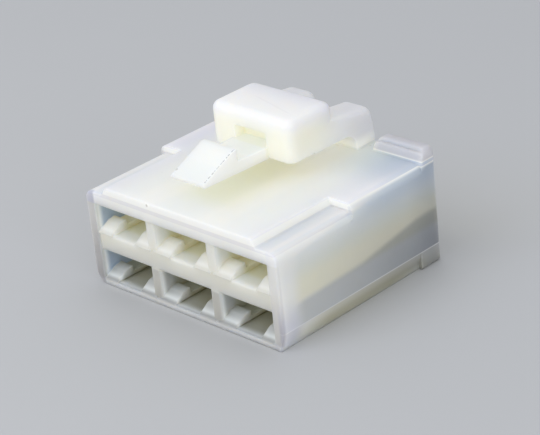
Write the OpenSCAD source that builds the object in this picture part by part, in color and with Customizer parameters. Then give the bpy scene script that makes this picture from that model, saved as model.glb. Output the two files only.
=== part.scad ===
// Receptacle housing for flat tab terminals: one moulding in natural nylon.
// Two rows of terminal cavities run from the mating face (-Y) to the wire
// side (+Y). A flexing latch with a press pad stands on the roof.
// The origin is the middle of the footprint, on the underside.

/* [Cavities] */
// Terminal cavities in each row
columns = 3; // [2:1:6]
// Rows of terminal cavities
rows = 2; // [1:1:3]
// Clear width of a cavity
cavity_w = 8.15; // [7.6:0.05:9.5]
// Clear height of a cavity
cavity_h = 3.7; // [3.4:0.05:5]
// Wall between neighbouring cavities in a row
divider_t = 1.4; // [0.9:0.1:2.4]
// Wall between the rows
shelf_t = 2.2; // [1:0.1:3]
// How far the dividers and shelves stand back from the front rim
grid_setback = 0.2; // [0.1:0.05:0.8]
// Bevel round each cavity's mouth on the wire side
mouth_bevel = 0.35; // [0.2:0.05:0.6]

/* [Body] */
// Outer wall on the left and the right
side_t = 1.375; // [1.1:0.025:2.5]
// Wall under the bottom row
floor_t = 0.7; // [0.5:0.05:1.6]
// Wall over the top row, under the raised panel
roof_t = 2.45; // [1.9:0.05:3.5]
// Depth from the mating face to the wire side
body_d = 26; // [25:0.5:32]
// Radius of the long upper edges
top_r = 1.1; // [0.3:0.1:1.2]
// Radius of the lower left edge, the side that keys to the left
key_r = 1.6; // [0.6:0.1:1.7]
// Height of the bevel on the lower right edge, the side that keys to the right
key_bevel_h = 2.24; // [1:0.05:3]
// Width of the same bevel at the underside
key_bevel_w = 0.6; // [0.2:0.05:0.9]

/* [Front ledges] */
// Width of the lowered ledge on each side of the panel
ledge_w = 2.9; // [1.6:0.1:4]
// Depth of the ledges from the mating face
ledge_d = 12; // [6:0.5:14]
// Drop from the panel to the ledges
ledge_drop = 0.95; // [0.4:0.05:1.2]
// Draft of the panel's side walls, measured across the drop
panel_draft = 0.6; // [0.1:0.05:1]

/* [Rear flange] */
// Depth of the square-cornered rear band
flange_d = 3.4; // [2.8:0.1:6]
// Height of the lip above the panel
lip_h = 1.8; // [0.8:0.05:3]
// Depth of the lip at its foot
lip_d = 2.4; // [1.8:0.1:3.5]
// Slope of the lip's front face, measured along the depth
lip_slope = 0.75; // [0.2:0.05:1]
// Radius along the lip's crest, on the wire side
lip_r = 0.9; // [0.3:0.05:1]
// Radius along the lip's crest, above its sloping front
lip_front_r = 0.7; // [0.3:0.05:0.9]
// Radius of the lip's upper corners
lip_end_r = 1.5; // [0.4:0.1:1.7]
// Gap in the middle of the lip, where the latch stands
lip_gap_w = 15.8; // [14:0.2:18]
// Radius of the flange's lower corners
flange_r = 0.4; // [0.2:0.05:0.6]
// Radius of the upright corners and the lower edge on the wire side
rear_r = 0.5; // [0.2:0.05:0.8]

/* [Tab guides] */
// Width of a guide block and of the rail behind it
guide_w = 2.15; // [1.4:0.05:2.8]
// Height of a guide block above the cavity floor
guide_h = 1.2; // [0.8:0.05:1.8]
// Depth of a guide block from the mating face
guide_d = 2.65; // [2:0.05:4]
// Depth of the flat top behind the lead-in slope
guide_top_d = 0.3; // [0.2:0.05:0.8]
// Height of the upright nose at the foot of the lead-in slope
guide_nose_h = 0.15; // [0.1:0.05:0.5]
// Height of the rails that carry the terminal
rail_h = 0.62; // [0.3:0.02:0.75]
// Length of the rails behind the guide blocks
rail_d = 9.4; // [4:0.2:12]
// Height of the catch that the terminal's lance drops over
catch_h = 0.75; // [0.3:0.05:1]
// Length of the catch's ramp
catch_d = 2.2; // [1:0.1:4]

/* [Latch] */
// Gap between the lever's underside and the panel
lever_gap = 2.15; // [1.2:0.05:3]
// Width across the press pad and the two side arms
pad_w = 12.5; // [10:0.1:13]
// Depth of the press pad
pad_d = 7.3; // [5:0.1:8]
// Height of the press pad
pad_h = 5.1; // [4.5:0.05:6.5]
// Radius of the press pad's upright edges
pad_r = 1.15; // [1.1:0.05:1.6]
// Radius of its upper edges
pad_top_r = 1.0; // [0.4:0.05:1.1]
// Radius of its lower edges
pad_low_r = 0.3; // [0.2:0.05:0.6]
// Distance from the wire side to the press pad
pad_from_rear = 6.3; // [6:0.1:8]
// Width of each side arm
arm_w = 3.9; // [2.5:0.05:4]
// Thickness of the side arms where they leave the pad
arm_t = 2.95; // [2:0.05:3.3]
// Fall of the side arms' upper face towards the wire side
arm_fall = 0.6; // [0:0.05:0.8]
// Depth of the legs that join the side arms to the body
leg_d = 3.1; // [2.4:0.1:3.6]
// Radius between the side arms' underside and the legs
leg_r = 1.9; // [1:0.1:2]
// Radius at the side arms' upper rear corner
arm_r = 1.4; // [0.6:0.1:1.6]

/* [Hook] */
// Width of the hook and its tongue
hook_w = 5.2; // [3:0.05:6.5]
// Distance from the mating face to the hook's tip
hook_setback = 2.4; // [1:0.1:3.5]
// Thickness of the tongue that carries the hook
tongue_t = 1.45; // [1:0.05:2]
// Rise of the tongue from the pad to the tip
tongue_rise = 0.35; // [0:0.05:0.8]
// Height of the hook's crest above the tongue
hook_h = 1.4; // [0.8:0.05:2]
// Height of the upright nose at the tip
hook_nose_h = 0.5; // [0.3:0.05:0.9]
// Length of the hook's ramp
ramp_d = 5.0; // [3:0.1:5.6]
// Length of the flat crest
crest_d = 0.6; // [0.3:0.05:1]
// Lean of the hook's catching face
hook_lean = 0.2; // [0:0.05:0.4]
// Width of the pocket in the pad above the tongue
pocket_w = 4.8; // [3:0.05:5]
// Height of that pocket
pocket_h = 1.55; // [0.8:0.05:1.9]
// Depth of that pocket
pocket_d = 1.5; // [0.6:0.1:2.5]

/* [Hidden] */
$fn = 48;

nylon = [0.93, 0.92, 0.86];
overlap = 0.5;                       // how far joined forms run into each other
beyond = 1;                          // how far a cutter runs past the surface

pitch_x = cavity_w + divider_t;
pitch_z = cavity_h + shelf_t;
grid_w = columns * pitch_x - divider_t;
grid_h = rows * pitch_z - shelf_t;
body_w = grid_w + 2 * side_t;
body_h = floor_t + grid_h + roof_t;
half_w = body_w / 2;
front_y = -body_d / 2;
rear_y = body_d / 2;

ledge_z = body_h - ledge_drop;
ledge_x = half_w - ledge_w;
lip_z = body_h + lip_h;
flange_y = rear_y - flange_d;

lever_z = body_h + lever_gap;
pad_rear_y = rear_y - pad_from_rear;
pad_front_y = pad_rear_y - pad_d;
pad_mid_y = pad_rear_y - pad_d / 2;
arm_end_z = lever_z + arm_t - arm_fall;
leg_front_y = rear_y - leg_d;

tip_y = front_y + hook_setback;
tip_z = lever_z + tongue_rise;
crest_y = tip_y + ramp_d;
hook_back_y = crest_y + crest_d;
hook_foot_y = hook_back_y - hook_lean;
tongue_len = pad_front_y - tip_y;
// Height of the tongue's underside at a given depth
function tongue_z(y) = lever_z + tongue_rise * (pad_front_y - y) / tongue_len;
hook_foot_z = tongue_z(hook_foot_y) + tongue_t;
crest_z = hook_foot_z + hook_h;

guide_end_y = front_y + guide_d;
rail_end_y = guide_end_y + rail_d;
slope_mid_share = 0.55;              // where the lead-in slope eases off, along the block
slope_mid_rise = 0.88;               // and how much of the height it has reached there

// ---- profiles pushed along an axis -------------------------------------

// A profile drawn in X and Z, run from y0 to y1
module along_y(y0, y1) {
    translate([0, y1, 0])
        rotate([90, 0, 0])
            linear_extrude(height = y1 - y0)
                children();
}

// A profile drawn in Y and Z, run from x0 to x1
module along_x(x0, x1) {
    translate([x0, 0, 0])
        rotate([90, 0, 90])
            linear_extrude(height = x1 - x0)
                children();
}

// What a radius takes off a corner whose material lies towards +x, +y
module corner_waste(r) {
    difference() {
        translate([-beyond, -beyond])
            square(r + beyond);
        translate([r, r])
            circle(r);
    }
}

// The filling of an inner corner whose free space lies towards +x, +y
module corner_fill(r) {
    difference() {
        translate([-overlap, -overlap])
            square(r + overlap);
        translate([r, r])
            circle(r);
    }
}

// A rectangle from the origin with its own radius on the lower and upper corners
module soft_rect(w, h, low_r, high_r) {
    difference() {
        square([w, h]);
        for (side = [0, 1])
            translate([side * w, 0])
                mirror([side, 0]) {
                    corner_waste(low_r);
                    translate([0, h])
                        mirror([0, 1])
                            corner_waste(high_r);
                }
    }
}

// ---- body ----------------------------------------------------------------

// Keyed outline below the roof: bevelled on the right, rounded on the left
module keyed_outline(top_z) {
    difference() {
        polygon([
            [-half_w, 0],
            [half_w - key_bevel_w, 0],
            [half_w, key_bevel_h],
            [half_w, top_z],
            [-half_w, top_z]
        ]);
        translate([-half_w, 0])
            corner_waste(key_r);
        for (side = [0, 1])
            mirror([side, 0])
                translate([half_w, top_z])
                    rotate(180)
                        corner_waste(top_r);
    }
}

// The raised panel between the ledges, with drafted side walls
module panel_outline() {
    foot_z = ledge_z - overlap;
    foot_draft = panel_draft * overlap / ledge_drop;
    polygon([
        [-ledge_x - foot_draft, foot_z],
        [ledge_x + foot_draft, foot_z],
        [ledge_x - panel_draft, body_h],
        [panel_draft - ledge_x, body_h]
    ]);
}

module flange_outline() {
    translate([-half_w, 0])
        soft_rect(body_w, body_h, flange_r, top_r);
}

// Seen from the side: a sloping front, a round crest, an upright back
module lip_profile() {
    foot_y = rear_y - lip_d;
    crest_y = foot_y + lip_slope;
    difference() {
        polygon([
            [foot_y, body_h - top_r],
            [foot_y, body_h],
            [crest_y, lip_z],
            [rear_y, lip_z],
            [rear_y, body_h - top_r]
        ]);
        translate([crest_y, lip_z])
            mirror([0, 1])
                corner_waste(lip_front_r);
        translate([rear_y, lip_z])
            rotate(180)
                corner_waste(lip_r);
    }
}

// Seen from the mating face: the half of the lip on the right
module lip_outline() {
    lip_w = half_w - lip_gap_w / 2;
    difference() {
        translate([half_w - lip_w, 0])
            square([lip_w, lip_z]);
        translate([half_w, lip_z])
            rotate(180)
                corner_waste(lip_end_r);
        translate([half_w - lip_w, lip_z])
            mirror([0, 1])
                corner_waste(lip_end_r);
    }
}

module lips() {
    for (side = [0, 1])
        mirror([side, 0, 0])
            intersection() {
                along_x(0, half_w)
                    lip_profile();
                along_y(flange_y, rear_y)
                    lip_outline();
            }
}

// The square rear band with its lips: its outlines from above and from the side cross
module flange() {
    intersection() {
        union() {
            along_y(flange_y, rear_y)
                flange_outline();
            lips();
        }
        linear_extrude(height = lip_z)
            translate([-half_w, rear_y])
                mirror([0, 1])
                    soft_rect(body_w, body_d, rear_r, 0);
        along_x(-half_w, half_w)
            difference() {
                translate([flange_y, 0])
                    square([flange_d, lip_z]);
                translate([rear_y, 0])
                    mirror([1, 0])
                        corner_waste(rear_r);
            }
    }
}

module shell() {
    along_y(front_y, front_y + ledge_d + overlap)
        keyed_outline(ledge_z);
    along_y(front_y, front_y + ledge_d + overlap)
        panel_outline();
    along_y(front_y + ledge_d, flange_y + overlap)
        keyed_outline(body_h);
    flange();
}

// ---- terminal cavities -----------------------------------------------------

// Calls its children at the lower middle of every cavity
module each_cavity() {
    for (column = [0 : columns - 1])
        for (row = [0 : rows - 1])
            translate([
                (column - (columns - 1) / 2) * pitch_x,
                0,
                floor_t + row * pitch_z
            ])
                children();
}

// The bevelled mouth on the wire side: two wedges that cross
module mouth() {
    low_y = rear_y - mouth_bevel;
    reach = mouth_bevel + beyond;
    intersection() {
        along_x(-cavity_w, cavity_w)
            polygon([
                [low_y, 0],
                [low_y + reach, -reach],
                [low_y + reach, cavity_h + reach],
                [low_y, cavity_h]
            ]);
        translate([0, 0, -cavity_h])
            linear_extrude(height = 3 * cavity_h)
                polygon([
                    [-cavity_w / 2, low_y],
                    [-cavity_w / 2 - reach, low_y + reach],
                    [cavity_w / 2 + reach, low_y + reach],
                    [cavity_w / 2, low_y]
                ]);
    }
}

module cavity_space() {
    translate([-cavity_w / 2, front_y - beyond, 0])
        cube([cavity_w, body_d + 2 * beyond, cavity_h]);
    mouth();
}

// The setback of the dividers and shelves behind the front rim
module front_recess() {
    translate([-grid_w / 2, front_y - beyond, floor_t])
        cube([grid_w, beyond + grid_setback, grid_h]);
}

// Side view of a guide block and its rail: nose, lead-in slope, flat top, rail
module guide_profile() {
    grid_y = front_y + grid_setback;
    polygon([
        [grid_y, -overlap],
        [grid_y, 0],
        [front_y, 0],
        [front_y, guide_nose_h],
        [front_y + guide_d * slope_mid_share, guide_h * slope_mid_rise],
        [guide_end_y - guide_top_d, guide_h],
        [guide_end_y, guide_h],
        [guide_end_y, rail_h],
        [rail_end_y, rail_h],
        [rail_end_y + rail_h, 0],
        [rail_end_y + rail_h, -overlap]
    ]);
}

// A guide on each side of the cavity, run into the wall beside it
module guides() {
    for (side = [0, 1])
        mirror([side, 0, 0])
            along_x(cavity_w / 2 - guide_w, cavity_w / 2 + overlap)
                guide_profile();
}

// The catch between the rails, low towards the wire side
module lance_catch() {
    catch_w = cavity_w - 2 * guide_w + 2 * overlap;
    along_x(-catch_w / 2, catch_w / 2)
        polygon([
            [rail_end_y - catch_d, -overlap],
            [rail_end_y - catch_d, catch_h],
            [rail_end_y, 0],
            [rail_end_y, -overlap]
        ]);
}

// ---- latch -------------------------------------------------------------------

// Half of the outline of a round post that fills the pad's corners
module post_outline() {
    difference() {
        square([pad_r, pad_h]);
        translate([pad_r, 0])
            mirror([1, 0])
                corner_waste(pad_low_r);
        translate([pad_r, pad_h])
            rotate(180)
                corner_waste(pad_top_r);
    }
}

// The press pad: four round posts, and two soft bars that cross between them
module press_pad() {
    post_x = pad_w / 2 - pad_r;
    for (x = [-post_x, post_x])
        for (y = [pad_front_y + pad_r, pad_rear_y - pad_r])
            translate([x, y, lever_z])
                rotate_extrude()
                    post_outline();
    along_x(-post_x, post_x)
        translate([pad_front_y, lever_z])
            soft_rect(pad_d, pad_h, pad_low_r, pad_top_r);
    along_y(pad_front_y + pad_r, pad_rear_y - pad_r)
        translate([-pad_w / 2, lever_z])
            soft_rect(pad_w, pad_h, pad_low_r, pad_top_r);
}

// Side view of a side arm with its leg
module arm_profile() {
    difference() {
        polygon([
            [pad_mid_y, lever_z],
            [leg_front_y, lever_z],
            [leg_front_y, body_h - overlap],
            [rear_y, body_h - overlap],
            [rear_y, arm_end_z],
            [rear_y - arm_r, arm_end_z],
            [pad_rear_y, lever_z + arm_t],
            [pad_mid_y, lever_z + arm_t]
        ]);
        translate([rear_y, arm_end_z])
            rotate(180)
                corner_waste(arm_r);
    }
    translate([leg_front_y, lever_z])
        rotate(180)
            corner_fill(leg_r);
}

module side_arms() {
    for (side = [0, 1])
        mirror([side, 0, 0])
            along_x(pad_w / 2 - arm_w, pad_w / 2)
                arm_profile();
}

// Side view of the tongue and its hook
module hook_profile() {
    polygon([
        [tip_y, tip_z],
        [tip_y, tip_z + hook_nose_h],
        [crest_y, crest_z],
        [hook_back_y, crest_z],
        [hook_foot_y, hook_foot_z],
        [pad_front_y, lever_z + tongue_t],
        [pad_mid_y, lever_z + tongue_t],
        [pad_mid_y, lever_z],
        [pad_front_y, lever_z]
    ]);
}

module hook() {
    along_x(-hook_w / 2, hook_w / 2)
        hook_profile();
}

// The pocket in the pad's front, above the tongue
module pad_pocket() {
    along_x(-pocket_w / 2, pocket_w / 2)
        translate([pad_front_y - beyond, lever_z + tongue_t])
            square([pocket_d + beyond, pocket_h]);
}

module latch() {
    difference() {
        press_pad();
        pad_pocket();
    }
    side_arms();
    hook();
}

// ---- the moulding --------------------------------------------------------------

module housing() {
    color(nylon) {
        difference() {
            shell();
            each_cavity()
                cavity_space();
            front_recess();
        }
        each_cavity() {
            guides();
            lance_catch();
        }
        latch();
    }
}

housing();
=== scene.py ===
import math

import bmesh
import bpy
from mathutils import Matrix, Vector


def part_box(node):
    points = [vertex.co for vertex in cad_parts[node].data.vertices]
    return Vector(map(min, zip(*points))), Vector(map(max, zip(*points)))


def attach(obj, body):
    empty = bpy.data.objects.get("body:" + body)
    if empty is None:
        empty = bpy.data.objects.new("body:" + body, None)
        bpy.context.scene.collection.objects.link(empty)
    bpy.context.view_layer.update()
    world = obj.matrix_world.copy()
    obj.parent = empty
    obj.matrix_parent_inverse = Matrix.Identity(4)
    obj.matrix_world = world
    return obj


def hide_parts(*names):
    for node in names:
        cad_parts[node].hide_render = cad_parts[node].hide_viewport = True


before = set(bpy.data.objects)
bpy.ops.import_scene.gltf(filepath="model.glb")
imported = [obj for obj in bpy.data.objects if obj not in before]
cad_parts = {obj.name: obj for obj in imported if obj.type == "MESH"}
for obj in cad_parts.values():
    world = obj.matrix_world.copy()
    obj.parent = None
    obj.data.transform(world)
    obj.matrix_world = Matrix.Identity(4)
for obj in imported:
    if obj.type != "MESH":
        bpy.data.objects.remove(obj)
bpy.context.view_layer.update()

# Dresses the receptacle housing: one soft-edged moulding in uncoloured nylon,
# a pale studio floor with soft lamps, and the camera.

bl_info = {
    "name": "Receptacle housing",
    "version": (1, 0, 0),
    "blender": (4, 5, 0),
    "location": "3D View > Sidebar > Housing",
    "description": "Builds the dressed nylon housing and its studio",
    "category": "Object",
}

MM = 0.001
NODE = "housing"
BODY = "root"
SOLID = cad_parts[NODE]
LOW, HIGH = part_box(NODE)
SHARP = math.radians(14)  # an edge that turns by more gets a radius
BENDING = math.radians(140)  # edges that meet at more than this carry on round a bend
STRAIGHT = math.radians(179.5)  # edges that meet at more than this lie in one line
FLAT = math.radians(0.3)  # faces that turn by less are one flat face
SEAM = math.radians(35)  # a join that turns by more is shaded as an edge
SMALLEST = 0.03 * MM  # a radius below this isn't made
ROOMY = 5 * MM  # the most room that is looked for beside an edge
END_SHARE = 0.46  # the share of an edge's length that a radius may take at each end
FACE_SHARE = 0.9  # the share of a flat face's width that a radius may take
WELD = 0.001 * MM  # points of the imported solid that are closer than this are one
ARM_WELD = 0.005 * MM  # the same for the points left by the arms' radius
ON_CUT = 0.0001 * MM  # points this close to a cut lie on it
SKIN = 0.03 * MM  # how far under the surface a measuring ray starts
# colour of the painted highlight along the side walls' crease
PAINTED_HIGHLIGHT = (1.0, 1.0, 1.0)
WALL = "wall"  # attribute: thickness of material behind the surface, in mm
# How each measuring ray leans off the inward direction
LEANS = (
    (0.0, 0.0, 0.0),
    (0.6, 0.0, 0.0),
    (-0.6, 0.0, 0.0),
    (0.0, 0.6, 0.0),
    (0.0, -0.6, 0.0),
    (0.0, 0.0, 0.6),
    (0.0, 0.0, -0.6),
)

# Parts of the moulding as boxes in mm: distance from the middle, depth and height
FAR = 99.0
REAR_MOUTHS = ((-FAR, FAR), (12.6, FAR), (-FAR, 10.9))
LIPS = ((7.6, FAR), (10.3, FAR), (12.85, FAR))
CAVITIES = ((-FAR, 13.9), (-FAR, FAR), (0.5, 10.6))
MATING_FACE = ((-FAR, FAR), (-FAR, -12.9), (-FAR, FAR))
FRONT_RIMS = ((-FAR, FAR), (-FAR, -12.5), (-FAR, FAR))
FLANGE_NOTCH = ((-FAR, 8.2), (9.0, FAR), (11.9, FAR))
ARM_TOPS = ((2.3, FAR), (6.69, FAR), (15.5, FAR))


# ---- settings ------------------------------------------------------------------


class MouldingSettings(bpy.types.PropertyGroup):
    """Sizes of the finished moulding's surface."""

    arm_radius: bpy.props.FloatProperty(
        name="Arm radius",
        description="Radius along the upper edges of the side arms, behind the pad",
        default=0.85 * MM,
        unit="LENGTH",
    )
    arm_steps: bpy.props.IntProperty(
        name="Arm steps",
        description="Faces across an arm's radius",
        default=7,
    )
    rim_radius: bpy.props.FloatProperty(
        name="Rim radius",
        description="Radius of the shelf, the dividers, the flange's notch and what is in it",
        default=0.3 * MM,
        unit="LENGTH",
    )
    mouth_radius: bpy.props.FloatProperty(
        name="Mouth radius",
        description="Radius round the front mouths and in the cavities' corners",
        default=0.08 * MM,
        unit="LENGTH",
    )
    edge_radius: bpy.props.FloatProperty(
        name="Edge radius",
        description="Soft radius along the moulding's other edges",
        default=0.18 * MM,
        unit="LENGTH",
    )
    edge_steps: bpy.props.IntProperty(
        name="Edge steps",
        description="Faces across an edge radius",
        default=4,
    )
    cell: bpy.props.FloatProperty(
        name="Cell",
        description="Spacing of the grid of points that carries the wall thickness",
        default=0.8 * MM,
        unit="LENGTH",
    )
    reach: bpy.props.FloatProperty(
        name="Reach",
        description="Thickness past which a wall counts as solid through",
        default=7.0 * MM,
        unit="LENGTH",
    )
    spread: bpy.props.IntProperty(
        name="Spread",
        description="How many points the measured thickness is softened over",
        default=2,
    )


class NylonSettings(bpy.types.PropertyGroup):
    """Colours and surface of the uncoloured nylon."""

    thick_colour: bpy.props.FloatVectorProperty(
        name="Thick colour",
        description="Milky colour where the nylon is thick",
        subtype="COLOR",
        size=3,
        default=(0.92, 0.91, 0.86),
    )
    thin_colour: bpy.props.FloatVectorProperty(
        name="Thin colour",
        description="Cooler colour of the thin walls",
        subtype="COLOR",
        size=3,
        default=(0.80, 0.84, 0.84),
    )
    speck_colour: bpy.props.FloatVectorProperty(
        name="Speck colour",
        description="Colour of the few specks in the resin",
        subtype="COLOR",
        size=3,
        default=(0.35, 0.33, 0.30),
    )
    roughness: bpy.props.FloatProperty(
        name="Roughness",
        description="Roughness of the satin surface",
        subtype="FACTOR",
        default=0.38,
    )
    haze: bpy.props.FloatProperty(
        name="Haze depth",
        description="How far light travels in the milky resin",
        default=4.0 * MM,
        unit="LENGTH",
    )
    glow: bpy.props.FloatProperty(
        name="Glow",
        description="Share of the lamps' light that each wall below the roof lets through",
        subtype="FACTOR",
        default=0.6,
    )
    roof_glow: bpy.props.FloatProperty(
        name="Roof glow",
        description="Share of the lamps' light that the roof and the latch let through",
        subtype="FACTOR",
        default=0.9,
    )
    glow_colour: bpy.props.FloatVectorProperty(
        name="Glow colour",
        description="Colour of the light that comes through a wall",
        subtype="COLOR",
        size=3,
        default=(1.0, 0.98, 0.88),
    )


class StudioSettings(bpy.types.PropertyGroup):
    """The floor, the lamps and the camera."""

    floor_colour: bpy.props.FloatVectorProperty(
        name="Floor colour",
        description="Colour in which the plain floor is seen",
        subtype="COLOR",
        size=3,
        default=(0.50, 0.51, 0.53),
    )
    floor_bounce: bpy.props.FloatVectorProperty(
        name="Floor bounce",
        description="Colour of the light that the floor throws up at the housing",
        subtype="COLOR",
        size=3,
        default=(0.30, 0.30, 0.31),
    )
    key_power: bpy.props.FloatProperty(
        name="Key power",
        description="Power of the large soft lamp above the mating face",
        default=0.96,
        unit="POWER",
    )
    fill_power: bpy.props.FloatProperty(
        name="Fill power",
        description="Power of the soft lamp to the right",
        default=1.3,
        unit="POWER",
    )
    world_level: bpy.props.FloatProperty(
        name="World level",
        description="Brightness of the even light from all round",
        default=0.71,
    )


# ---- node trees ----------------------------------------------------------------


class Value:
    """One number or colour socket of a tree, which Python's operators work on."""

    def __init__(self, tree, socket):
        self.tree = tree
        self.socket = socket

    def _math(self, operation, *operands):
        node = self.tree.node(
            "ShaderNodeMath", {"operation": operation}, dict(enumerate(operands))
        )
        return Value(self.tree, node.outputs[0])

    def __add__(self, other):
        return self._math("ADD", self, other)

    def __sub__(self, other):
        return self._math("SUBTRACT", self, other)

    def __rsub__(self, other):
        return self._math("SUBTRACT", other, self)

    def __mul__(self, other):
        return self._math("MULTIPLY", self, other)

    def __abs__(self):
        return self._math("ABSOLUTE", self)

    __radd__ = __add__
    __rmul__ = __mul__

    def low(self, other):
        return self._math("MINIMUM", self, other)

    def high(self, other):
        return self._math("MAXIMUM", self, other)

    def rise(self, start, end):
        """0 below start, 1 above end, and smooth between them."""
        node = self.tree.node(
            "ShaderNodeMapRange",
            {"interpolation_type": "SMOOTHSTEP"},
            {"Value": self, "From Min": start, "From Max": end},
        )
        return Value(self.tree, node.outputs["Result"])

    def between(self, low, high, edge):
        """1 from low to high, falling to 0 over the edge width outside."""
        return self.rise(low - edge, low) * (1 - self.rise(high, high + edge))


class Tree:
    """A node tree with one way of making nodes."""

    def __init__(self, node_tree):
        self.node_tree = node_tree

    def node(self, kind, settings=None, inputs=None):
        """A node of this kind: its settings first, then its sockets' values or links."""
        made = self.node_tree.nodes.new(kind)
        for name, setting in (settings or {}).items():
            setattr(made, name, setting)
        for key, value in (inputs or {}).items():
            socket = made.inputs[key]
            if isinstance(value, Value):
                self.node_tree.links.new(value.socket, socket)
            else:
                socket.default_value = value
        return made

    def value(self, kind, output=0, settings=None, inputs=None):
        """One output of a new node."""
        return Value(self, self.node(kind, settings, inputs).outputs[output])

    def mix(self, share, first, second, blend="MIX"):
        """Colour mix: first where share is 0, second where it is 1."""
        settings = {"data_type": "RGBA", "blend_type": blend}
        inputs = {0: share, 6: first, 7: second}
        return self.value("ShaderNodeMix", 2, settings, inputs)

    def grey(self, value):
        """The number as a grey colour."""
        return self.value("ShaderNodeCombineColor", 0, None, {0: value, 1: value, 2: value})

    def noise(self, place, scale, detail, roughness=0.5):
        """Soft noise in space, around a half."""
        inputs = {
            "Vector": place,
            "Scale": scale,
            "Detail": detail,
            "Roughness": roughness,
        }
        return self.value("ShaderNodeTexNoise", "Fac", None, inputs)


def colour4(rgb):
    """The colour with its alpha."""
    return (*rgb, 1.0)


def new_material(name):
    """An empty material and its tree."""
    material = bpy.data.materials.new(name)
    material.use_nodes = True
    material.node_tree.nodes.clear()
    return material, Tree(material.node_tree)


# ---- nylon ---------------------------------------------------------------------
#
# Places on the housing are in millimetres. A tint is a share and a hue: the hue
# multiplies the nylon's colour where the share is 1. Most tints are painted light
# and shade, laid on by place.


def place_in_mm(tree):
    """The point on the object, in millimetres, as a vector and as x, y and z."""
    coords = tree.value("ShaderNodeTexCoord", "Object")
    scaled = tree.value(
        "ShaderNodeVectorMath",
        0,
        {"operation": "SCALE"},
        {"Vector": coords, "Scale": 1 / MM},
    )
    parts = tree.node("ShaderNodeSeparateXYZ", None, {0: scaled})
    return scaled, [Value(tree, parts.outputs[axis]) for axis in "XYZ"]


def specks(tree, place, scale, share):
    """1 on a few small round specks scattered through the resin."""
    cells = tree.node("ShaderNodeTexVoronoi", None, {"Vector": place, "Scale": scale})
    near = 1 - Value(tree, cells.outputs["Distance"]).rise(0.05, 0.11)
    pick = tree.node("ShaderNodeSeparateColor", None, {0: Value(tree, cells.outputs["Color"])})
    chosen = Value(tree, pick.outputs[0]).rise(1 - share, 1 - share + 0.001)
    return near * chosen


def outer_wall(x):
    """1 on the outer faces of the side walls."""
    return abs(x).rise(14.3, 14.7)


def side_wall(x, z):
    """1 on the right wall's outer face below the panel, and half on the left wall's."""
    return outer_wall(x) * (1 - z.rise(12.2, 12.6)) * (0.5 + x.rise(-1, 1) * 0.5)


def crease_highlight(x, z):
    """The share of white for a painted highlight on the line where the right wall's bevelled
    foot starts.
    """
    line = z.between(2.22, 2.3, 0.06) * x.rise(-1, 1)
    return side_wall(x, z) * line * 0.35


def side_tints(x, y, z):
    """The side walls: the cores behind them show as cool panes of painted shade round a cream
    band, partly painted light; painted shade darkens them towards the rear and the foot.
    """
    side = side_wall(x, z)
    cored = y.rise(-11.4, -9.2)
    foot = 1 - z.rise(2.1, 2.35)
    # painted shade: the side walls grow darker and greyer towards the rear
    painted_rear_shade = y.rise(-15, 14) * (1 - z.rise(5, 12) * 0.35)
    yield side * painted_rear_shade, (0.58, 0.59, 0.62)
    # painted shade: a cooler, darker strip at the rear
    yield side * y.rise(7.0, 13.5), (0.80, 0.82, 0.86)
    band_low = 5.1 + (y + 10) * 0.03 + y.high(0.0).low(9.0) * 0.13
    # painted shade: the lower cavity seen darker through the thin wall
    low_pane_shade = cored * (1 - foot) * (1 - (z - band_low).rise(-0.6, 0.3))
    yield side * low_pane_shade, (0.67, 0.69, 0.72)
    pane_top = 10.6 + (y + 10) * 0.13
    # painted shade: the upper cavity seen a little cooler through the thin wall
    high_pane_shade = cored * z.rise(6.5, 9.5) * (1 - (z - pane_top).rise(-0.4, 0.2))
    yield side * high_pane_shade, (0.92, 0.96, 1.0)
    # cream band where the shelf backs the wall: partly its thicker nylon, partly painted light
    # from inside
    band = cored * z.rise(4.5, 5.5) * (1 - z.rise(7.0, 11.0))
    yield side * band, (0.96, 0.94, 0.82)
    # painted shade: the front strip darker and cooler towards its foot
    low_front_shade = (1 - cored) * (1 - z.rise(2.5, 6.5))
    yield side * low_front_shade, (0.76, 0.77, 0.88)
    # painted shade on the downward-facing foot and its bevel
    middle = y.rise(-13, -5) * (1 - y.rise(4, 12) * 0.6)
    yield side * foot * middle, (0.82, 0.80, 0.72)
    bevel = abs(x).rise(13.9, 14.2) * (1 - z.rise(0.3, 2.2))
    yield bevel * middle, (0.76, 0.73, 0.58)
    # painted shade: the lower rear darker
    low_rear_shade = y.rise(-2, 12) * (1 - z.rise(2, 7))
    yield side * low_rear_shade, (0.80, 0.81, 0.83)
    # painted shade: the upper rear cooler and darker
    high_rear_shade = z.rise(8, 12) * y.rise(-6, 6)
    yield side * high_rear_shade, (0.82, 0.88, 0.98)


def front_tints(x, y, z):
    """The mating face: painted shade that darkens it towards its foot, across the lower row,
    on the inner grid, on its left outer wall and in its top left corner; the right outer wall
    only a little cooler.
    """
    front = 1 - y.rise(-12.95, -12.4)
    right = x.rise(-1, 1)
    # painted shade: darker towards the foot, less on the bottom rim
    low = (1 - z.rise(-2, 11.2)) * (0.5 + z.rise(0.45, 0.8) * 0.5)
    yield front * low, (0.54, 0.54, 0.56)
    # painted shade: the left outer wall darker and cooler
    outer = abs(x).rise(13.4, 13.8)
    yield front * outer * (1 - right), (0.62, 0.63, 0.70)
    yield front * outer * right, (0.93, 0.93, 0.99)
    # painted shade: the inner grid's front a little darker and warmer
    rim = (1 - abs(x).low(13.3).rise(13.2, 13.5)) * z.between(1.0, 10.2, 0.3)
    yield front * rim, (0.90, 0.90, 0.85)
    # painted shade: the lower row's front darker
    lower_row_shade = z.between(0.9, 4.2, 0.3) * (1 - abs(x).rise(13.3, 13.6))
    yield front * lower_row_shade, (0.70, 0.70, 0.72)
    # painted shade: the top left corner cooler and darker
    top_left_shade = (1 - x.rise(-14.5, -10.5)) * z.rise(10.2, 10.5)
    yield front * top_left_shade, (0.82, 0.84, 0.94)


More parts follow.
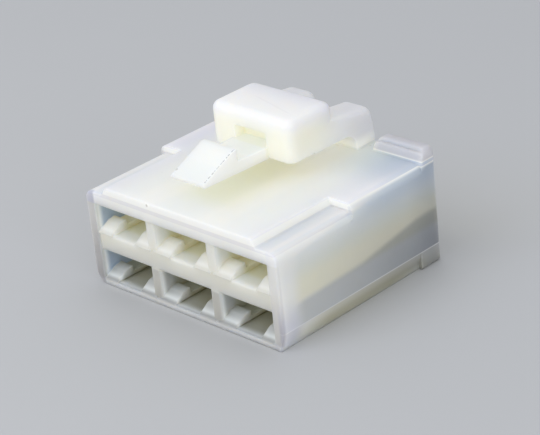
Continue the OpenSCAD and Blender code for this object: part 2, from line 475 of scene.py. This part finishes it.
def cavity_tints(x, y, z):
    """The cavities: warm painted light under the ceilings, painted shade deeper in and in the
    lower row; the outer walls seen from inside get cool painted shade.
    """
    fade = 1 - y.rise(6, 12.5)
    inside = y.rise(-12.7, -11.8) * fade * z.between(0.75, 10.25, 0.1)
    # painted shade: the cavities a little darker, the lower row much darker
    core = inside * (1 - abs(x).rise(13.35, 13.5))
    yield core, (0.90, 0.90, 0.88)
    yield core * (1 - z.rise(4.6, 6.4)), (0.66, 0.67, 0.70)
    # painted light: warm light through the roof and the shelf onto the ceilings
    lit_ceiling = z.rise(9.4, 10.1) + z.between(4.2, 4.6, 0.15) * 0.7
    yield core * lit_ceiling, (1.0, 0.98, 0.84)
    # painted shade: warmer, darker olive deeper in
    yield core * y.rise(-11.2, -10.2), (0.95, 0.93, 0.79)
    yield core * y.rise(-11, -4) * (1 - lit_ceiling * 0.7), (0.74, 0.71, 0.54)
    # painted shade on the cavity floors just inside the mouths
    floor = y.rise(-12.8, -11.5) * fade * z.between(0.6, 0.8, 0.08)
    yield floor * (1 - abs(x).rise(13.5, 13.7)), (0.62, 0.59, 0.50)
    # painted shade: cool, dark inner faces of the outer walls
    inner_wall_shade = abs(x).between(13.5, 13.75, 0.1)
    yield inside * inner_wall_shade, (0.52, 0.60, 0.73)


def top_tints(x, y, z):
    """The top: painted shadow of the latch on the panel's right rear, warm painted light under
    the latch, painted shade on the lips, cool on the ledges and the panel's edges.
    """
    panel = z.between(12.6, 12.9, 0.1)
    # painted shadow: the latch's shade on the right rear of the panel
    yield panel * x.rise(1, 12) * y.rise(1, 10), (0.65, 0.72, 0.79)
    yield panel * abs(x).rise(8, 13.5), (0.90, 0.90, 0.99)
    yield panel * (1 - x.rise(-14, -3)), (0.90, 0.90, 0.94)
    # painted light: warm light that comes through the latch onto the panel
    under_latch_light = (1 - abs(x).rise(1, 8)) * y.between(-7, 1, 4)
    yield panel * under_latch_light, (1.0, 0.985, 0.87)
    ledge = z.between(11.5, 11.9, 0.1) * (1 - y.rise(-1.0, -0.8))
    yield ledge, (0.86, 0.86, 0.91)
    # painted shade: the lips darker and cooler, most at their tops
    lip = abs(x).rise(7.6, 7.9)
    yield lip * z.rise(12.9, 13.2) * y.rise(10.2, 10.5), (0.60, 0.61, 0.70)
    yield lip * z.rise(14.2, 14.5), (0.80, 0.79, 0.79)


def latch_tints(x, y, z):
    """The latch: warm flanks, a cool white top, and painted shade that darkens and cools it
    towards the arms' ends.
    """
    latch = z.rise(13.2, 14.6) * (1 - abs(x).rise(6.4, 6.8))
    flank = (1 - z.rise(17.5, 19.6)) * y.rise(-1.2, -0.7) * (1 - y.rise(3, 8))
    yield latch * flank, (1.0, 0.99, 0.92)
    yield latch * z.rise(18.4, 19.7), (0.94, 0.945, 1.0)
    # painted shade: darker and cooler towards the arms' ends
    yield latch * y.rise(1, 9) * z.rise(16, 19), (0.88, 0.88, 0.94)
    yield latch * y.rise(3, 11), (0.78, 0.79, 0.86)
    # a faint, slightly darker streak across the pad's top
    pad_streak = (y - 2.6 + x * 0.25).between(-0.05, 0.05, 0.12) * x.between(-1.5, 3.5, 1.5)
    yield latch * z.rise(19.6, 19.9) * pad_streak, (0.96, 0.96, 0.97)
    ramp_edge = x.between(2.42, 2.50, 0.04) * y.between(-10.2, -5.6, 0.3)
    along = y.tree.value("ShaderNodeCombineXYZ", 0, None, {1: y})
    dashes = y.tree.noise(along, 3.4, 1.0).rise(0.42, 0.56)
    yield ramp_edge * z.rise(15.3, 15.5) * dashes, (0.58, 0.57, 0.60)


def tinted(tree, colour, tints):
    """The colour with each tint laid over it in turn."""
    for share, hue in tints:
        colour = tree.mix(share, colour, colour4(hue), "MULTIPLY")
    return colour


def nylon_material(settings):
    """Milky nylon: cream where thick, cooler where thin, a fine satin grain, and painted light
    and shade.
    """
    material, tree = new_material("natural nylon")
    place, (x, y, z) = place_in_mm(tree)
    wall = tree.value("ShaderNodeAttribute", "Fac", {"attribute_name": WALL})

    thin = 1 - wall.rise(0.9, 4.0)
    clouds = tree.noise(place, 0.35, 2.0)
    grain = tree.noise(place, 6.0, 4.0, 0.6)
    cool = thin * (1 - outer_wall(x) * 0.8) + (clouds - 0.5) * 0.25
    cool = cool.high(0.0).low(1.0)
    colour = tree.mix(cool, colour4(settings.thick_colour), colour4(settings.thin_colour))
    colour = tinted(tree, colour, side_tints(x, y, z))
    # painted highlight: a thin white line along the side walls' crease
    colour = tree.mix(crease_highlight(x, z), colour, colour4(PAINTED_HIGHLIGHT))
    for tints in (front_tints, cavity_tints, top_tints, latch_tints):
        colour = tinted(tree, colour, tints(x, y, z))
    level = 0.97 + clouds * 0.04 + (grain - 0.5) * 0.02
    colour = tree.mix(1.0, colour, tree.grey(level), "MULTIPLY")
    deep = y.rise(-12.95, -12.9) * z.between(0.6, 10.4, 0.1) * (1 - abs(x).rise(13.9, 14.1))
    dust = specks(tree, place, 0.45, 0.10) * (1 - deep) * 0.6
    colour = tree.mix(dust, colour, colour4(settings.speck_colour))

    roughness = settings.roughness + (clouds - 0.5) * 0.12 + (grain - 0.5) * 0.08
    ripples = tree.noise(place, 1.3, 2.0)
    height = grain + ripples * 2.0
    bump = tree.value(
        "ShaderNodeBump",
        0,
        None,
        {"Strength": 0.25, "Distance": 0.02 * MM, "Height": height},
    )
    shader = tree.value(
        "ShaderNodeBsdfPrincipled",
        0,
        {"subsurface_method": "RANDOM_WALK"},
        {
            "Base Color": colour,
            "Roughness": roughness,
            "Normal": bump,
            "IOR": 1.53,
            "Subsurface Weight": 1.0,
            "Subsurface Radius": (1.0, 0.9, 0.75),
            "Subsurface Scale": settings.haze,
        },
    )
    path = tree.node("ShaderNodeLightPath")
    glow = settings.glow + z.rise(9.8, 10.2) * (settings.roof_glow - settings.glow)
    through = Value(tree, path.outputs["Is Shadow Ray"]) * glow
    glow_colour = colour4(settings.glow_colour)
    clear = tree.value("ShaderNodeBsdfTransparent", 0, None, {"Color": glow_colour})
    both = tree.value("ShaderNodeMixShader", 0, None, {0: through, 1: shader, 2: clear})
    tree.node("ShaderNodeOutputMaterial", None, {"Surface": both})
    return material


# ---- moulding ------------------------------------------------------------------


def closed_copy(solid):
    """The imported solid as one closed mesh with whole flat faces."""
    mesh = bmesh.new()
    mesh.from_mesh(solid.data)
    bmesh.ops.remove_doubles(mesh, verts=mesh.verts, dist=WELD)
    bmesh.ops.dissolve_limit(mesh, angle_limit=FLAT, verts=mesh.verts, edges=mesh.edges)
    return mesh


def is_sharp(edge):
    """True for an edge where two faces meet at a clear turn."""
    return edge.is_manifold and edge.calc_face_angle() > SHARP


def neighbours(edge):
    """Each edge that meets this one on a shared face, with the angle between them."""
    for vert in edge.verts:
        way = edge.other_vert(vert).co - vert.co
        for other in vert.link_edges:
            if other is not edge and set(other.link_faces) & set(edge.link_faces):
                yield other, way.angle(other.other_vert(vert).co - vert.co)


def room_beside(edge):
    """The width that a radius can take before it meets the next edge over."""
    room = ROOMY
    for other, angle in neighbours(edge):
        if angle > BENDING:
            continue
        if is_sharp(other):
            length = min(other.calc_length(), edge.calc_length())
            room = min(room, END_SHARE * length * math.tan(angle / 2))
        else:
            room = min(room, FACE_SHARE * other.calc_length() * math.sin(angle))
    return room


def runs_of(edges):
    """Groups the edges that carry on round a bend, so each bend keeps one radius."""
    waiting = set(edges)
    while waiting:
        run, front = [], [waiting.pop()]
        while front:
            edge = front.pop()
            run.append(edge)
            for other, angle in neighbours(edge):
                if other in waiting and BENDING < angle < STRAIGHT:
                    waiting.discard(other)
                    front.append(other)
        yield run


def lies_in(edge, part):
    """True for an edge with both ends in the part's box."""
    for vert in edge.verts:
        x, y, z = vert.co / MM
        for place, (low, high) in zip((abs(x), y, z), part):
            if not low < place < high:
                return False
    return True


def runs_along(edge):
    """True for an edge that keeps its place across the housing."""
    first, second = edge.verts
    return abs(first.co.x - second.co.x) < SMALLEST


def round_arms(mesh, radius, steps):
    """Gives the side arms their large radius behind the pad."""
    tops = [edge for edge in mesh.edges if is_sharp(edge) and lies_in(edge, ARM_TOPS)]
    along = [edge for edge in tops if runs_along(edge)]
    bmesh.ops.bevel(
        mesh,
        geom=along,
        offset=radius,
        offset_type="OFFSET",
        segments=steps,
        profile=0.5,
        affect="EDGES",
        clamp_overlap=False,
        miter_outer="SHARP",
    )
    bmesh.ops.remove_doubles(mesh, verts=mesh.verts, dist=ARM_WELD)


def wanted_radius(edge, sizes):
    """The radius an edge should have: larger on the front rims and in the flange's notch."""
    if lies_in(edge, REAR_MOUTHS):
        return 0  # the rear mouths have their own chamfers
    if lies_in(edge, LIPS):
        return 0  # the lips have their own radii
    in_cavity = lies_in(edge, CAVITIES)
    if in_cavity and (not edge.is_convex or lies_in(edge, MATING_FACE)):
        return sizes.mouth_radius
    if in_cavity and lies_in(edge, FRONT_RIMS):
        return sizes.rim_radius
    if lies_in(edge, FLANGE_NOTCH):
        return sizes.rim_radius
    return sizes.edge_radius


def weigh_edges(mesh, sizes):
    """Gives each sharp edge its radius, as a share of the largest one."""
    largest = max(sizes.rim_radius, sizes.edge_radius)
    weight = mesh.edges.layers.float.new("bevel_weight_edge")
    for run in runs_of([edge for edge in mesh.edges if is_sharp(edge)]):
        radius = min(min(wanted_radius(edge, sizes), room_beside(edge)) for edge in run)
        for edge in run:
            edge[weight] = radius / largest if radius > SMALLEST else 0
    return largest


def cut_into_cells(mesh, low, high, cell):
    """Slices the faces on a grid, so that points lie evenly over the flat walls."""
    for axis in range(3):
        count = int((high[axis] - low[axis]) / cell)
        step = (high[axis] - low[axis]) / count
        normal = Vector((0, 0, 0))
        normal[axis] = 1
        for index in range(1, count):
            point = normal * (low[axis] + step * index)
            bmesh.ops.bisect_plane(
                mesh,
                geom=mesh.verts[:] + mesh.edges[:] + mesh.faces[:],
                dist=ON_CUT,
                plane_co=point,
                plane_no=normal,
            )


def wall_tree():
    """Geometry nodes that measure the wall behind each point and store it."""
    group = bpy.data.node_groups.new("measure the wall", "GeometryNodeTree")
    new_socket = group.interface.new_socket
    new_socket("Geometry", in_out="INPUT", socket_type="NodeSocketGeometry")
    reach_socket = new_socket("Reach", in_out="INPUT", socket_type="NodeSocketFloat")
    spread_socket = new_socket("Spread", in_out="INPUT", socket_type="NodeSocketInt")
    paint_socket = new_socket("Paint", in_out="INPUT", socket_type="NodeSocketMaterial")
    new_socket("Geometry", in_out="OUTPUT", socket_type="NodeSocketGeometry")

    tree = Tree(group)
    given = tree.node("NodeGroupInput")
    geometry, reach, spread, paint = (Value(tree, given.outputs[i]) for i in range(4))
    point = tree.value("GeometryNodeInputPosition")
    normal = tree.value("GeometryNodeInputNormal")
    inward = tree.value(
        "ShaderNodeVectorMath", 0, {"operation": "SCALE"}, {"Vector": normal, "Scale": -1.0}
    )
    start = tree.value(
        "ShaderNodeVectorMath",
        0,
        {"operation": "MULTIPLY_ADD"},
        {0: inward, 1: (SKIN, SKIN, SKIN), 2: point},
    )
    found = 0.0
    for lean in LEANS:
        way = tree.value(
            "ShaderNodeVectorMath", 0, {"operation": "ADD"}, {0: inward, 1: lean}
        )
        ray = tree.node(
            "GeometryNodeRaycast",
            None,
            {
                "Target Geometry": geometry,
                "Source Position": start,
                "Ray Direction": way,
                "Ray Length": reach,
            },
        )
        depth = tree.value(
            "GeometryNodeSwitch",
            0,
            {"input_type": "FLOAT"},
            {
                "Switch": Value(tree, ray.outputs["Is Hit"]),
                "False": reach,
                "True": Value(tree, ray.outputs["Hit Distance"]),
            },
        )
        found = depth * (1 / len(LEANS)) + found
    soft = tree.value(
        "GeometryNodeBlurAttribute",
        0,
        {"data_type": "FLOAT"},
        {"Value": found * (1 / MM), "Iterations": spread},
    )
    stored = tree.value(
        "GeometryNodeStoreNamedAttribute",
        0,
        {"data_type": "FLOAT", "domain": "POINT"},
        {"Geometry": geometry, "Name": WALL, "Value": soft},
    )
    plain = tree.value("GeometryNodeRealizeInstances", 0, None, {"Geometry": stored})
    painted = tree.value(
        "GeometryNodeSetMaterial", 0, None, {"Geometry": plain, "Material": paint}
    )
    tree.node("NodeGroupOutput", None, {0: painted})
    return group, (reach_socket, spread_socket, paint_socket)


def plain_mesh(item):
    """Replaces the object's mesh with its evaluated one and drops its modifiers."""
    graph = bpy.context.evaluated_depsgraph_get()
    finished = bpy.data.meshes.new_from_object(item.evaluated_get(graph))
    item.modifiers.clear()
    item.data = finished


def new_object(name, data):
    """A new object in the scene that holds this mesh, lamp or camera."""
    item = bpy.data.objects.new(name, data)
    bpy.context.scene.collection.objects.link(item)
    return item


class HOUSING_OT_moulding(bpy.types.Operator):
    """Makes the soft-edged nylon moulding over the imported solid"""

    bl_idname = "housing.moulding"
    bl_label = "Moulding"

    def execute(self, context):
        sizes = context.scene.housing_moulding
        work = closed_copy(SOLID)
        round_arms(work, sizes.arm_radius, sizes.arm_steps)
        largest = weigh_edges(work, sizes)
        mesh = bpy.data.meshes.new("moulding")
        work.to_mesh(mesh)
        item = new_object("moulding", mesh)
        soft = item.modifiers.new("soft edges", "BEVEL")
        soft.limit_method = "WEIGHT"
        soft.width = largest
        soft.segments = sizes.edge_steps
        soft.use_clamp_overlap = False
        plain_mesh(item)

        mesh = item.data  # the rounded mesh, which takes the place of the first one
        work.clear()
        work.from_mesh(mesh)
        bmesh.ops.triangulate(work, faces=work.faces)
        cut_into_cells(work, LOW, HIGH, sizes.cell)
        bmesh.ops.recalc_face_normals(work, faces=work.faces)
        work.to_mesh(mesh)
        work.free()
        mesh.shade_smooth()

        material = nylon_material(context.scene.housing_nylon)
        mesh.materials.append(material)
        group, sockets = wall_tree()
        measure = item.modifiers.new("measure", "NODES")
        measure.node_group = group
        for socket, value in zip(sockets, (sizes.reach, sizes.spread, material)):
            measure[socket.identifier] = value
        plain_mesh(item)
        item.data.set_sharp_from_angle(angle=SEAM)
        flat = item.modifiers.new("even shading", "WEIGHTED_NORMAL")
        flat.keep_sharp = True

        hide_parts(NODE)
        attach(item, BODY)
        return {"FINISHED"}


# ---- studio --------------------------------------------------------------------

AIM = Vector((1.22, -0.08, 7.08)) * MM
DISTANCE = 225 * MM
AZIMUTH = math.radians(46.74)
ELEVATION = math.radians(25.85)
ROLL = math.radians(-6.33)
LENS = 132.87
NEAREST = 0.01  # nothing closer to the camera is drawn
FLOOR_RADIUS = 3.0
FLOOR_SIDES = 96
KEY_PLACE, KEY_SIZE = (-0.10, -0.34, 0.30), 0.30
FILL_PLACE, FILL_SIZE = (0.66, -0.21, 0.16), 0.45
WARM = (1.0, 0.985, 0.96)
COOL = (0.93, 0.96, 1.0)
SKY = (0.95, 0.97, 1.0)


def floor_material(colour, bounce):
    """Plain pale floor with a faint unevenness, which throws little light back up."""
    material, tree = new_material("studio floor")
    coords = tree.value("ShaderNodeTexCoord", "Object")
    cloud = tree.noise(coords, 14.0, 3.0)
    shade = 0.98 + cloud * 0.04
    path = tree.node("ShaderNodeLightPath")
    seen = 0.0
    for ray in ("Is Camera Ray", "Is Glossy Ray", "Is Transmission Ray"):
        seen = Value(tree, path.outputs[ray]) + seen
    paint = tree.mix(seen.low(1.0), colour4(bounce), colour4(colour))
    paint = tree.mix(1.0, paint, tree.grey(shade), "MULTIPLY")
    inputs = {"Base Color": paint, "Roughness": 0.6}
    shader = tree.value("ShaderNodeBsdfPrincipled", 0, None, inputs)
    tree.node("ShaderNodeOutputMaterial", None, {"Surface": shader})
    return material


def soft_lamp(name, place, size, power, colour):
    """A square soft lamp that faces the housing."""
    data = bpy.data.lights.new(name, "AREA")
    data.size = size
    data.energy = power
    data.color = colour
    lamp = new_object(name, data)
    lamp.location = place
    lamp.rotation_euler = (AIM - Vector(place)).to_track_quat("-Z", "Y").to_euler()
    lamp.visible_camera = False


def camera_matrix():
    """The camera's place: round the housing, above it, and leaning a little."""
    back = Vector(
        (
            math.sin(AZIMUTH) * math.cos(ELEVATION),
            -math.cos(AZIMUTH) * math.cos(ELEVATION),
            math.sin(ELEVATION),
        )
    )
    right = Vector((0, 0, 1)).cross(back).normalized()
    up = back.cross(right)
    turn = Matrix((right, up, back)).transposed() @ Matrix.Rotation(ROLL, 3, "Z")
    return Matrix.Translation(AIM + back * DISTANCE) @ turn.to_4x4()


class HOUSING_OT_studio(bpy.types.Operator):
    """Makes the floor, the lamps, the world and the camera"""

    bl_idname = "housing.studio"
    bl_label = "Studio"

    def execute(self, context):
        scene = context.scene
        sizes = scene.housing_studio

        disc = bmesh.new()
        bmesh.ops.create_circle(
            disc, cap_ends=True, radius=FLOOR_RADIUS, segments=FLOOR_SIDES
        )
        mesh = bpy.data.meshes.new("studio floor")
        disc.to_mesh(mesh)
        disc.free()
        mesh.materials.append(floor_material(sizes.floor_colour, sizes.floor_bounce))
        new_object("studio_floor", mesh)

        soft_lamp("key lamp", KEY_PLACE, KEY_SIZE, sizes.key_power, WARM)
        soft_lamp("fill lamp", FILL_PLACE, FILL_SIZE, sizes.fill_power, COOL)

        world = bpy.data.worlds.new("studio")
        scene.world = world
        world.use_nodes = True
        world.node_tree.nodes.clear()
        tree = Tree(world.node_tree)
        inputs = {"Color": colour4(SKY), "Strength": sizes.world_level}
        even = tree.value("ShaderNodeBackground", 0, None, inputs)
        tree.node("ShaderNodeOutputWorld", None, {"Surface": even})

        data = bpy.data.cameras.new("camera")
        data.lens = LENS
        data.clip_start = NEAREST
        camera = new_object("camera", data)
        camera.matrix_world = camera_matrix()
        scene.camera = camera
        scene.view_settings.view_transform = "Standard"
        return {"FINISHED"}


# ---- panel ---------------------------------------------------------------------


class HOUSING_PT_sidebar(bpy.types.Panel):
    """Lists the housing's steps and their settings"""

    bl_idname = "HOUSING_PT_sidebar"
    bl_label = "Housing"
    bl_space_type = "VIEW_3D"
    bl_region_type = "UI"
    bl_category = "Housing"

    def draw(self, context):
        scene = context.scene
        for operator, groups in (
            (HOUSING_OT_moulding, (scene.housing_moulding, scene.housing_nylon)),
            (HOUSING_OT_studio, (scene.housing_studio,)),
        ):
            box = self.layout.box()
            for group in groups:
                for name in group.__annotations__:
                    box.prop(group, name)
            box.operator(operator.bl_idname)


CLASSES = (
    MouldingSettings,
    NylonSettings,
    StudioSettings,
    HOUSING_OT_moulding,
    HOUSING_OT_studio,
    HOUSING_PT_sidebar,
)


def register():
    for item in CLASSES:
        bpy.utils.register_class(item)
    scene = bpy.types.Scene
    scene.housing_moulding = bpy.props.PointerProperty(type=MouldingSettings)
    scene.housing_nylon = bpy.props.PointerProperty(type=NylonSettings)
    scene.housing_studio = bpy.props.PointerProperty(type=StudioSettings)


def unregister():
    scene = bpy.types.Scene
    del scene.housing_studio, scene.housing_nylon, scene.housing_moulding
    for item in reversed(CLASSES):
        bpy.utils.unregister_class(item)


def main():
    register()
    bpy.ops.housing.moulding()
    bpy.ops.housing.studio()


if __name__ == "__main__":
    main()
